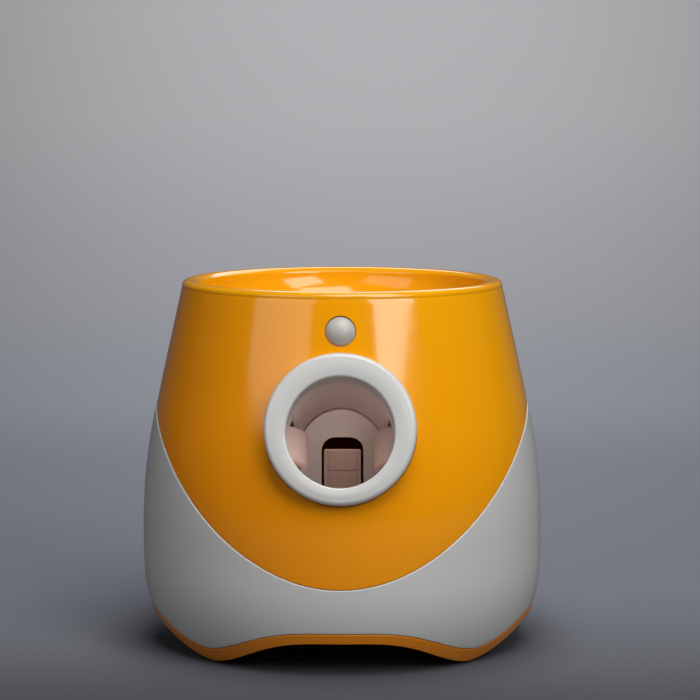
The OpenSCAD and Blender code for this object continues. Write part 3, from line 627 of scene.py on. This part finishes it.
def base_floor():
    """Floor with its four feet, the battery opening, posts and door ears."""
    body = housing_solid("base_floor_skin", WALL + 0.25, FOOT_LOW + 0.05, FLOOR_TOP)
    wide, long = FLOOR_HALF_W, BASE_REACH
    channel = box("channel", (-wide, -long, -10), (wide, long, ARCH_H + CLEAR_CUT))
    combine(channel, box("channel", (-long, -wide, -10), (long, wide, ARCH_H + CLEAR_CUT)), "UNION")
    combine(channel, housing_solid("inside", 2 * WALL, -5, ARCH_H + 2), "INTERSECT")
    combine(body, channel)
    for turn in (0, math.pi / 2):
        combine(body, below_arches(turn))
    for x in (-POST_X, POST_X):
        post = extrude("post", circle_outline(4, x, POST_Y, 32), ARCH_H + 0.5, POST_TOP)
        combine(body, post, "UNION")
    for side in (-1, 1):
        x = side * (EAR_X + 3)
        low, high = (x - EAR_T / 2, HINGE_Y - 4, ARCH_H + 0.5), (x + EAR_T / 2, HINGE_Y + 4, EAR_TOP)
        combine(body, box("ear", low, high), "UNION")
    combine(body, box("opening", (-EAR_X, DOOR_FRONT - DOOR_GAP, ARCH_H - 1), (EAR_X, DOOR_BACK, 40)))
    for turn in range(4):
        outward = Matrix.Translation((0, BELLY_R - CASE_HOLE_IN, 0))
        place = Matrix.Rotation(turn * math.pi / 2, 4, "Z") @ outward
        combine(body, extrude("hole", circle_outline(3.4, steps=32), ARCH_H - 1, 40, place))
    for i in range(SPEAKER_HOLES + 1):
        a = TURN * i / SPEAKER_HOLES
        reach = 0 if i == SPEAKER_HOLES else 8
        hole = circle_outline(1.6, SPEAKER_X + reach * math.cos(a), SPEAKER_Y + reach * math.sin(a), 24)
        combine(body, extrude("sound_hole", hole, ARCH_H - 1, 40))
    return body


piece(base_floor(), "housing", BASE_ORANGE, ["base_tray"])

PAD_X = 69
PAD_R = 7.5
PAD_TOP = 9
PAD_EDGE = 0.9
for number, (x, y) in enumerate(((-1, -1), (-1, 1), (1, -1), (1, 1))):
    foot = [(0, 0)]
    foot += [(PAD_R - PAD_EDGE * (1 - math.sin(a)), PAD_EDGE * (1 - math.cos(a))) for a in quarter(6)]
    foot += [(PAD_R, PAD_TOP), (0, PAD_TOP)]
    place = Matrix.Translation((PAD_X * x, PAD_X * y, 0))
    pad = revolve(f"foot_pad_{number + 1}", foot, place, columns=64)
    shape = combine(below_arches(0), below_arches(math.pi / 2), "UNION")
    combine(pad, shape, "INTERSECT")
    piece(pad, "housing", RUBBER, ["foot_pads"])


# ---------------------------------------------------------------- hopper

def bowl_point(t, out):
    """(radius, height, shift along Y) of the bowl, from the rim at 0 to the throat at 1."""
    a = math.pi / 2 * t
    drop = (1 - BOWL_SLOPE) * math.sin(a) + BOWL_SLOPE * (1 - math.cos(a))
    height = THROAT_Z + BOWL_DEPTH * (1 - drop)
    return (
        WELL_R + (BOWL_TOP_R - WELL_R) * math.cos(a) + out,
        height - out * (2 if t == 0 else math.sin(a)),
        -WELL_FORWARD * (1 - math.cos(a)),
    )


def curve_through(points, steps):
    """Smooth curve through points (Catmull-Rom)."""
    padded = [points[0]] + points + [points[-1]]
    out = []
    for i in range(1, len(padded) - 2):
        p0, p1, p2, p3 = (Vector(padded[i + d]) for d in (-1, 0, 1, 2))
        for s in range(steps):
            t = s / steps
            bend = 2 * p0 - 5 * p1 + 4 * p2 - p3
            twist = 3 * p1 - p0 - 3 * p2 + p3
            out.append(0.5 * (2 * p1 + (p2 - p0) * t + bend * t**2 + twist * t**3))
    out.append(Vector(points[-1]))
    return out


BOWL_STEPS = 48
ROLL_STEPS = 12
ROLL_LOW_Z = RIM_Z + 0.8
rim_curve = curve_through(
    [
        bowl_point(1 / BOWL_STEPS, 0)[:2],
        (BOWL_TOP_R, BODY_H - 2.5),
        (RIM_TOP_R - 2.8, BODY_H - 0.55),
        (RIM_TOP_R, BODY_H),
    ],
    8,
)[9:]
rim_curve += [
    (RIM_TOP_R + RIM_ROLL * math.sin(a), ROLL_LOW_Z + (BODY_H - ROLL_LOW_Z) * math.cos(a))
    for a in quarter(ROLL_STEPS)[1:]
]
rim_curve += [(RIM_OUT_R + 0.02, RIM_Z + HAIRLINE), (RIM_OUT_R - HAIRLINE, RIM_Z)]
hopper_rings = [bowl_point(1 - i / BOWL_STEPS, 0) for i in range(BOWL_STEPS)]
hopper_rings += [bowl_point(0, 0)]
hopper_rings += [(p[0], p[1], 0) for p in rim_curve]
hopper_rings += [(RIM_OUT_R - WALL - 0.5, RIM_Z, 0)]
hopper_rings += [bowl_point(i / BOWL_STEPS, HOPPER_WALL) for i in range(BOWL_STEPS + 1)]


def ring_points(ring, columns):
    """Circle of a bowl ring, given as in bowl_point."""
    r, z, shift = ring
    return [
        (r * math.cos(TURN * c / columns), shift + r * math.sin(TURN * c / columns), z)
        for c in range(columns)
    ]


hopper = loft("hopper_skin", [ring_points(ring, 256) for ring in hopper_rings])
piece(hopper, "housing", BOWL_ORANGE, ["hopper"], angle=50)


# ---------------------------------------------------------------- nozzle ring

def nozzle_ring():
    """Lip with a crowned face; its hole follows the tilted bore, so it isn't quite in the middle."""
    tilt = math.tan(FIRE_ANGLE - TAPER)
    stretch = 1 / math.cos(FIRE_ANGLE - TAPER)
    outer_r = RING_R - 0.05
    crown = 0.45
    columns = 256
    sections = []
    for c in range(columns):
        ca, sa = math.cos(TURN * c / columns), math.sin(TURN * c / columns)

        def bore_at(height):
            drop = RING_LIFT + HOLE_DROP * max(height + HOLE_DROP, 0) / (RING_PROUD + HOLE_DROP)
            y = tilt * height - drop + BORE_R * stretch * sa
            return Vector((BORE_R * ca, y, height))

        start = Vector((outer_r * ca, outer_r * sa, 0))
        across = bore_at(RING_PROUD) - start
        across.z = 0
        width = across.length
        across.normalize()

        def at(reach, height):
            point = start + across * reach
            return Vector((point.x, point.y, height))

        path = [Vector((outer_r * ca, outer_r * sa, -RING_DEPTH))]
        for a in quarter(8):
            path.append(at(LIP_OUTER * (1 - math.cos(a)), RING_PROUD - LIP_OUTER * (1 - math.sin(a))))
        flat = width - LIP_OUTER - LIP_INNER
        for i in range(1, 12):
            path.append(at(LIP_OUTER + flat * i / 12, RING_PROUD + crown * math.sin(math.pi * i / 12)))
        for a in quarter(8):
            inward, low = LIP_INNER * (1 - math.sin(a)), LIP_INNER * (1 - math.cos(a))
            path.append(at(width - inward, RING_PROUD - low))
        path += [bore_at(RING_PROUD - LIP_INNER - 2), bore_at(-RING_DEPTH)]
        sections.append([tuple(p) for p in path])
    return loft("nozzle_ring_skin", sections, RING_FRAME)


piece(nozzle_ring(), "housing", RING_WHITE, ["nozzle_ring"], angle=50)


# ---------------------------------------------------------------- launch tube

TUBE_GAP = 1.5
SLOT_RISE = 2
WHEEL_CLEAR = 1.5


def copy_of(node):
    """New object with the shape of a CAD node."""
    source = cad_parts[node]
    body = bpy.data.objects.new(node + "_skin", source.data.copy())
    bpy.context.scene.collection.objects.link(body)
    body.matrix_world = source.matrix_world.copy()
    body.data.materials.clear()
    return body


def wheel_place(side):
    """Frame in a wheel's middle, along its shaft; side is -1 on the left and 1 on the right."""
    return BORE_FRAME @ Matrix.Translation((side * WHEEL_X, WHEEL_S, 0))


def launch_tube():
    """The tube with its wheel slots open higher above the wheels and a fine gap before the well."""
    body = copy_of("launch_tube")
    well = circle_outline(WELL_R + HOPPER_WALL + TUBE_GAP, 0, -WELL_FORWARD, 128)
    combine(body, extrude("well", well, 60, 200))
    outline = circle_outline(WHEEL_R + WHEEL_CLEAR, steps=96)
    for side in (-1, 1):
        top = WHEEL_W / 2 + WHEEL_CLEAR + SLOT_RISE
        combine(body, extrude("slot", outline, 0, top, wheel_place(side)))
    return body


piece(launch_tube(), "housing", TUBE_WHITE, ["launch_tube"])

DOOR_LOW = HINGE_Z - 1.1
GRIP_GROOVES = 6
GRIP_PITCH = 4
GRIP_W = 1.6
GRIP_DEPTH = 0.6


def battery_door():
    """The door with grip grooves, each shorter than the one before."""
    body = copy_of("battery_door")
    for i in range(GRIP_GROOVES):
        front = DOOR_FRONT + 16 + GRIP_PITCH * i
        half = 17 - 2 * i
        low, high = (-half, front, DOOR_LOW - 1), (half, front + GRIP_W, DOOR_LOW + GRIP_DEPTH)
        combine(body, box("groove", low, high))
    return body


piece(battery_door(), "battery_door", BASE_ORANGE, ["battery_door"])


# ---------------------------------------------------------------- lens

LENS_WALL = 1
DOME_R = LENS_R * 1.2
DOME_LOW = -LENS_R * 0.84
DOME_STEPS = 12
FLANGE_R = LENS_R + 1.2
FLANGE_Z = -WALL - 0.7


def pir_lens():
    """Domed cap with a flange behind the wall."""
    def arc(r, reach):
        turns = [math.asin(reach / r) * i / DOME_STEPS for i in range(DOME_STEPS + 1)]
        return [(r * math.sin(a), DOME_LOW + r * math.cos(a)) for a in turns]

    profile = [(FLANGE_R, FLANGE_Z - LENS_WALL), (FLANGE_R, FLANGE_Z), (LENS_R, FLANGE_Z)]
    profile += reversed(arc(DOME_R, LENS_R))
    profile += arc(DOME_R - LENS_WALL, LENS_R - LENS_WALL)
    profile.append((LENS_R - LENS_WALL, FLANGE_Z - LENS_WALL))
    return revolve("pir_lens_dome", profile, front_wall(LENS_Z))


piece(pir_lens(), "housing", LENS, ["pir_lens"])


# ---------------------------------------------------------------- wheels and paddle

def tyre_profile():
    """Tyre with round shoulders."""
    inner, half, shoulder = WHEEL_R - TYRE_T, WHEEL_W / 2, 2.6
    flat = half - shoulder
    arc = [(WHEEL_R - shoulder * (1 - math.sin(a)), flat + shoulder * math.cos(a)) for a in quarter(8)]
    tread = [(WHEEL_R, (-1 + 2 * i / 13) * flat) for i in range(1, 13)]
    return [(inner, -half)] + [(r, -z) for r, z in arc] + tread + arc[::-1] + [(inner, half)]


for side, name in ((-1, "left"), (1, "right")):
    tyre = revolve(f"flywheel_{name}_tyre_skin", tyre_profile(), wheel_place(side))
    piece(tyre, f"flywheel_{name}", SILICONE, [f"flywheel_{name}_tyre"])

PADDLE_W = 23
PADDLE_T = 3
PIVOT_Y = 14.5
PIVOT_Z = 48
PADDLE_TOP_Z = 114.5
SHAFT_R = 2
HUB_R = 5.5
RIB_X = 10.5
RIB_T = 2
GROOVE_X = 9
GROOVE_W = 1
CREASE_Z = PADDLE_TOP_Z - 13
CREASE_HALF_W = 8.6


def feed_paddle():
    """Plate with a crease and two grooves in its front and three ribs behind, on a round hub."""
    front = PIVOT_Y - PADDLE_T
    place = Matrix.Translation((0, front, 0)) @ Matrix.Rotation(math.pi / 2, 4, "X")
    mid_z = (PIVOT_Z + PADDLE_TOP_Z) / 2
    h = PADDLE_TOP_Z - PIVOT_Z

    def outline(grow):
        plate = rounded_outline(PADDLE_W + 2 * grow, h + 2 * grow, 1.2 + grow)
        return [(x, y + mid_z) for x, y in plate]

    body = pillow("feed_paddle_skin", outline, -PADDLE_T, 0, 0.5, place)
    for side in (-1, 0, 1):
        x = side * RIB_X
        low = (x - RIB_T / 2, PIVOT_Y - 0.5, PIVOT_Z + 1)
        high = (x + RIB_T / 2, PIVOT_Y + 4, PADDLE_TOP_Z - 8)
        combine(body, box("rib", low, high), "UNION")
    across = Matrix.Translation((0, PIVOT_Y, PIVOT_Z)) @ Matrix.Rotation(math.pi / 2, 4, "Y")
    combine(body, extrude("hub", circle_outline(HUB_R), -PADDLE_W / 2, PADDLE_W / 2, across), "UNION")
    combine(body, extrude("bore", circle_outline(SHAFT_R + 0.01), -40, 40, across))
    for side in (-1, 1):
        x = side * GROOVE_X
        low, high = (x - GROOVE_W / 2, front - 2.2, 60), (x + GROOVE_W / 2, front + 0.8, 140)
        combine(body, box("groove", low, high))
    low = (-CREASE_HALF_W, front - 1, CREASE_Z - 0.3)
    high = (CREASE_HALF_W, front + 0.4, CREASE_Z + 0.3)
    combine(body, box("crease", low, high))
    return body


piece(feed_paddle(), "paddle", PADDLE_WHITE, ["feed_paddle"])


# ---------------------------------------------------------------- control panel on the back

def clip_to_wall(obj, inset=0.35):
    """Trim a piece to the outer surface of the housing."""
    rows = [60 + 3 * i for i in range(50)]
    profile = [(0, rows[0])] + [(wall_r(z) - inset, z) for z in rows] + [(0, rows[-1])]
    return combine(obj, revolve("trim", profile, columns=COLUMNS), "INTERSECT")


panel = extrude("control_panel_skin", rounded_outline(PANEL_W, PANEL_H, 5.7), -2, 24, PANEL_FRAME)
clip_to_wall(panel)
combine(panel, extrude("pocket", rounded_outline(PANEL_W - 4, PANEL_H - 4, 4), 0, 30, PANEL_FRAME))
BUTTON_X = 17
BUTTON_R = 6
LED_X = [-5.4, -1.8, 1.8, 5.4]
for x in (-BUTTON_X, BUTTON_X):
    combine(panel, extrude("hole", circle_outline(BUTTON_R + 0.35, x), -10, 10, PANEL_FRAME))
for x in LED_X:
    combine(panel, extrude("hole", circle_outline(1.25, x, steps=24), -10, 10, PANEL_FRAME))
piece(panel, "housing", BLACK, ["control_panel"])


KEY_TOP = 1.8
KEY_EDGE = 0.7
KEY_DISH = 0.5
KEY_FLANGE_TOP = -2.6
KEY_FLANGE_LOW = -3.6


def on_panel(x):
    """Frame on the panel's pocket floor, at a place along it."""
    return PANEL_FRAME @ Matrix.Translation((x, 0, 0))


def button(name, x):
    """Round key with a dished top and a flange behind the panel."""
    top_r = BUTTON_R - KEY_EDGE
    flange_r = BUTTON_R + 1.2
    profile = [(0, KEY_FLANGE_LOW), (flange_r, KEY_FLANGE_LOW)]
    profile += [(flange_r, KEY_FLANGE_TOP), (BUTTON_R, KEY_FLANGE_TOP)]
    for a in quarter(6):
        profile.append((top_r + KEY_EDGE * math.cos(a), KEY_TOP - KEY_EDGE * (1 - math.sin(a))))
    for i in range(1, 9):
        r = top_r * (1 - i / 8)
        profile.append((r, KEY_TOP - KEY_DISH * (1 - (r / top_r) ** 2)))
    obj = revolve(name + "_key", profile, on_panel(x), columns=96)
    return piece(obj, name, GREY_BUTTON, [name])


button("power_button", -BUTTON_X)
button("range_button", BUTTON_X)

MARK_LOW = 1.15
MARK_TOP = 1.56
MARK_R = 2.6
MARK_LINE = 0.6
MARK_TURN = [math.radians(130 + 280 * i / 24) for i in range(25)]
BAR_W = 0.9
BAR_LOW = -2.1
BARS = ((-1.8, -0.6), (0, 0.8), (1.8, 2.2))


def key_mark(name, x, outlines):
    """Raised strokes on the dished top of a key."""
    place = on_panel(x)
    strokes = [extrude(name + "_mark", outline, MARK_LOW, MARK_TOP, place) for outline in outlines]
    while len(strokes) > 1:
        combine(strokes[0], strokes.pop(), "UNION")
    piece(strokes[0], name, MARK)


def bar(x, w, low, top):
    """Upright stroke."""
    return [(x - w / 2, low), (x + w / 2, low), (x + w / 2, top), (x - w / 2, top)]


open_ring = [(MARK_R * math.cos(a), MARK_R * math.sin(a)) for a in MARK_TURN]
inner_r = MARK_R - MARK_LINE
open_ring += [(inner_r * math.cos(a), inner_r * math.sin(a)) for a in reversed(MARK_TURN)]
key_mark("power_button", -BUTTON_X, [open_ring, bar(0, MARK_LINE, 0.7, 3.1)])
key_mark("range_button", BUTTON_X, [bar(x, BAR_W, BAR_LOW, top) for x, top in BARS])

LED_R = 1.2
for number, x in enumerate(LED_X):
    profile = [(0, -2), (LED_R, -2)]
    profile += [(LED_R * math.cos(a), 0.1 + 0.5 * math.sin(a)) for a in quarter(6)]
    lamp = revolve(f"indicator_led_{number + 1}", profile, on_panel(x), columns=32)
    piece(lamp, "housing", LED, ["indicator_leds"])


# ---------------------------------------------------------------- floor, backdrop, light and camera

# Painted light: the paper's brightness to the camera, darker on the floor in front where the part's shade
# falls and lighter up the wall, along a line that runs back over the floor and, steeper, up the wall.
PAPER_STOPS = [
    (0.0, (72, 72, 78)),
    (0.068, (81, 82, 88)),
    (0.107, (106, 108, 115)),
    (0.15, (125, 128, 138)),
    (0.3, (127, 130, 140)),
    (0.43, (138, 141, 147)),
    (0.53, (154, 154, 158)),
    (0.62, (168, 167, 170)),
    (0.7, (174, 173, 176)),
    (1.0, (178, 177, 180)),
]
PAPER_GREY = (96, 97, 100)
PAPER_CLIMB = 1.6
PAPER_SPAN = (-0.4, 3.2)
# Painted light on the paper: painted shade to the sides, a painted shadow close under the part and a
# painted glow towards the wall.
SIDE_REACH = 0.3
SIDE_SHADE = 0.66
FOOT_SHADE = 0.62
FOOT_SPAN = (0.1, 0.165)
GLOW = 0.35
GLOW_SPAN = (0.15, 1)


def sweep_paper():
    """Matt paper: a gradient to the camera, an even mid grey to every other ray.

    Its camera colour is painted light: it darkens with the square of the distance to either side,
    takes a painted shadow close under the part, glows a little towards the wall, and is clear from its
    back.
    """
    material = bpy.data.materials.new("sweep_paper")
    material.use_nodes = True
    tree = material.node_tree
    node, link = tree.nodes, tree.links
    shader = node["Principled BSDF"]
    shader.inputs["Roughness"].default_value = 0.9
    shader.inputs["Specular IOR Level"].default_value = 0.1
    place = node.new("ShaderNodeTexCoord")
    axes = node.new("ShaderNodeSeparateXYZ")
    link.new(place.outputs["Object"], axes.inputs["Vector"])

    along = node.new("ShaderNodeMath")
    along.operation = "MULTIPLY_ADD"
    along.inputs[1].default_value = PAPER_CLIMB
    link.new(axes.outputs["Z"], along.inputs[0])
    link.new(axes.outputs["Y"], along.inputs[2])
    ramp = node.new("ShaderNodeValToRGB")
    shift = node.new("ShaderNodeMapRange")
    shift.inputs["From Min"].default_value, shift.inputs["From Max"].default_value = PAPER_SPAN
    link.new(along.outputs["Value"], shift.inputs["Value"])
    link.new(shift.outputs["Result"], ramp.inputs["Fac"])
    stops = ramp.color_ramp.elements
    for at, _ in PAPER_STOPS[1:-1]:
        stops.new(at)
    for stop, (at, shade) in zip(stops, PAPER_STOPS):
        stop.position = at
        stop.color = linear(*shade)

    square = node.new("ShaderNodeMath")
    square.operation = "MULTIPLY"
    link.new(axes.outputs["X"], square.inputs[0])
    link.new(axes.outputs["X"], square.inputs[1])
    across = node.new("ShaderNodeMapRange")
    across.inputs["From Max"].default_value = SIDE_REACH
    across.inputs["To Min"].default_value = 1
    across.inputs["To Max"].default_value = SIDE_SHADE
    link.new(square.outputs["Value"], across.inputs["Value"])
    away = node.new("ShaderNodeVectorMath")
    away.operation = "LENGTH"
    link.new(place.outputs["Object"], away.inputs[0])
    near = node.new("ShaderNodeMapRange")
    near.interpolation_type = "SMOOTHSTEP"
    near.inputs["From Min"].default_value, near.inputs["From Max"].default_value = FOOT_SPAN
    near.inputs["To Min"].default_value = FOOT_SHADE
    near.inputs["To Max"].default_value = 1
    link.new(away.outputs["Value"], near.inputs["Value"])
    fade = node.new("ShaderNodeMath")
    fade.operation = "MULTIPLY"
    link.new(across.outputs["Result"], fade.inputs[0])
    link.new(near.outputs["Result"], fade.inputs[1])
    side = node.new("ShaderNodeMix")
    side.data_type = "RGBA"
    side.blend_type = "MULTIPLY"
    side.inputs["Factor"].default_value = 1
    link.new(ramp.outputs["Color"], side.inputs["A"])
    link.new(fade.outputs["Value"], side.inputs["B"])

    ray = node.new("ShaderNodeLightPath")
    seen = node.new("ShaderNodeMix")
    seen.data_type = "RGBA"
    seen.inputs["A"].default_value = linear(*PAPER_GREY)
    link.new(side.outputs["Result"], seen.inputs["B"])
    link.new(ray.outputs["Is Camera Ray"], seen.inputs["Factor"])
    link.new(seen.outputs["Result"], shader.inputs["Base Color"])
    far = node.new("ShaderNodeMapRange")
    far.inputs["From Min"].default_value, far.inputs["From Max"].default_value = GLOW_SPAN
    far.inputs["To Max"].default_value = GLOW
    link.new(along.outputs["Value"], far.inputs["Value"])
    lift = node.new("ShaderNodeMath")
    lift.operation = "MULTIPLY"
    link.new(far.outputs["Result"], lift.inputs[1])
    link.new(ray.outputs["Is Camera Ray"], lift.inputs[0])
    link.new(side.outputs["Result"], shader.inputs["Emission Color"])
    link.new(lift.outputs["Value"], shader.inputs["Emission Strength"])

    shape = node.new("ShaderNodeNewGeometry")
    hidden = node.new("ShaderNodeMath")
    hidden.operation = "MULTIPLY"
    link.new(shape.outputs["Backfacing"], hidden.inputs[0])
    link.new(ray.outputs["Is Camera Ray"], hidden.inputs[1])
    clear = node.new("ShaderNodeBsdfTransparent")
    either = node.new("ShaderNodeMixShader")
    link.new(hidden.outputs["Value"], either.inputs["Fac"])
    link.new(shader.outputs["BSDF"], either.inputs[1])
    link.new(clear.outputs["BSDF"], either.inputs[2])
    link.new(either.outputs["Shader"], node["Material Output"].inputs["Surface"])
    return material


SWEEP_R = 700
SWEEP_BACK = 1500
SWEEP_FRONT = -3000
SWEEP_TOP = 3000
SWEEP_HALF_W = 3500
sweep_line = [(SWEEP_FRONT, 0)]
sweep_line += [
    (SWEEP_BACK - SWEEP_R * (1 - math.sin(a)), SWEEP_R * (1 - math.cos(a))) for a in quarter(24)
]
sweep_line += [(SWEEP_BACK, SWEEP_TOP)]
sweep_points = [(x, y, z) for y, z in sweep_line for x in (-SWEEP_HALF_W, SWEEP_HALF_W)]
sweep_faces = [(2 * i, 2 * i + 1, 2 * i + 3, 2 * i + 2) for i in range(len(sweep_line) - 1)]
sweep = new_object("studio_sweep", sweep_points, sweep_faces)
sweep.data.flip_normals()  # Its front faces the part.
smooth(sweep, 60)
sweep.data.materials.append(sweep_paper())

WORLD_LIGHT = 0.07
WORLD_SEEN = 0.35
world = bpy.data.worlds.new("studio")
bpy.context.scene.world = world
world.use_nodes = True
world_nodes, world_link = world.node_tree.nodes, world.node_tree.links
world_nodes["Background"].inputs["Color"].default_value = linear(206, 211, 222)
world_ray = world_nodes.new("ShaderNodeLightPath")
world_level = world_nodes.new("ShaderNodeMapRange")
world_level.inputs["To Min"].default_value = WORLD_LIGHT
world_level.inputs["To Max"].default_value = WORLD_SEEN
world_link.new(world_ray.outputs["Is Camera Ray"], world_level.inputs["Value"])
world_link.new(world_level.outputs["Result"], world_nodes["Background"].inputs["Strength"])


LAMP_TARGET = Vector((0, 0, 0.16))


def softbox(name, azimuth, elevation, distance, width, height, watts, roll=0):
    """Rectangular lamp that faces the object, rolled about its own axis.

    Angles are in degrees from the front and from the floor, the rest is in metres and watts.
    """
    lamp = bpy.data.lights.new(name, "AREA")
    lamp.shape = "RECTANGLE"
    lamp.size, lamp.size_y = width, height
    lamp.energy = watts
    obj = bpy.data.objects.new(name, lamp)
    bpy.context.scene.collection.objects.link(obj)
    a, e = math.radians(azimuth), math.radians(elevation)
    way = Vector((math.sin(a) * math.cos(e), -math.cos(a) * math.cos(e), math.sin(e)))
    obj.location = LAMP_TARGET + way * distance
    obj.rotation_mode = "QUATERNION"
    turn = Quaternion((0, 0, 1), math.radians(roll))
    obj.rotation_quaternion = (-way).to_track_quat("-Z", "Y") @ turn
    return obj


softbox("softbox_right", 36, 27, 1.9, 0.95, 0.75, 12, roll=14)
softbox("softbox_left", -41, 25, 1.9, 1.35, 0.85, 5, roll=-8)
softbox("softbox_top", 20, 62, 1.8, 1.2, 1.2, 26)
softbox("softbox_back", 172, 42, 1.5, 0.9, 0.7, 5.5)

CAMERA_DISTANCE = 1600
CAMERA_HEIGHT = 355
CAMERA_ROUND = math.radians(0.6)
CAMERA_PITCH = math.radians(6.31)
AXIS_OFFSET_PX = 7.8
FOCAL_PX = 2620.3
FRAME_PX = 700
SENSOR = 36
camera_data = bpy.data.cameras.new("camera")
camera_data.sensor_width = SENSOR
camera_data.lens = SENSOR * FOCAL_PX / FRAME_PX
camera = bpy.data.objects.new("camera", camera_data)
bpy.context.scene.collection.objects.link(camera)
camera.location = (
    CAMERA_DISTANCE * math.sin(CAMERA_ROUND) * MM,
    (AXIS.y - CAMERA_DISTANCE * math.cos(CAMERA_ROUND)) * MM,
    CAMERA_HEIGHT * MM,
)
camera.rotation_euler = (
    math.pi / 2 - CAMERA_PITCH,
    0,
    CAMERA_ROUND - math.atan(AXIS_OFFSET_PX / FOCAL_PX),
)
bpy.context.scene.camera = camera
bpy.context.scene.view_settings.view_transform = "Standard"
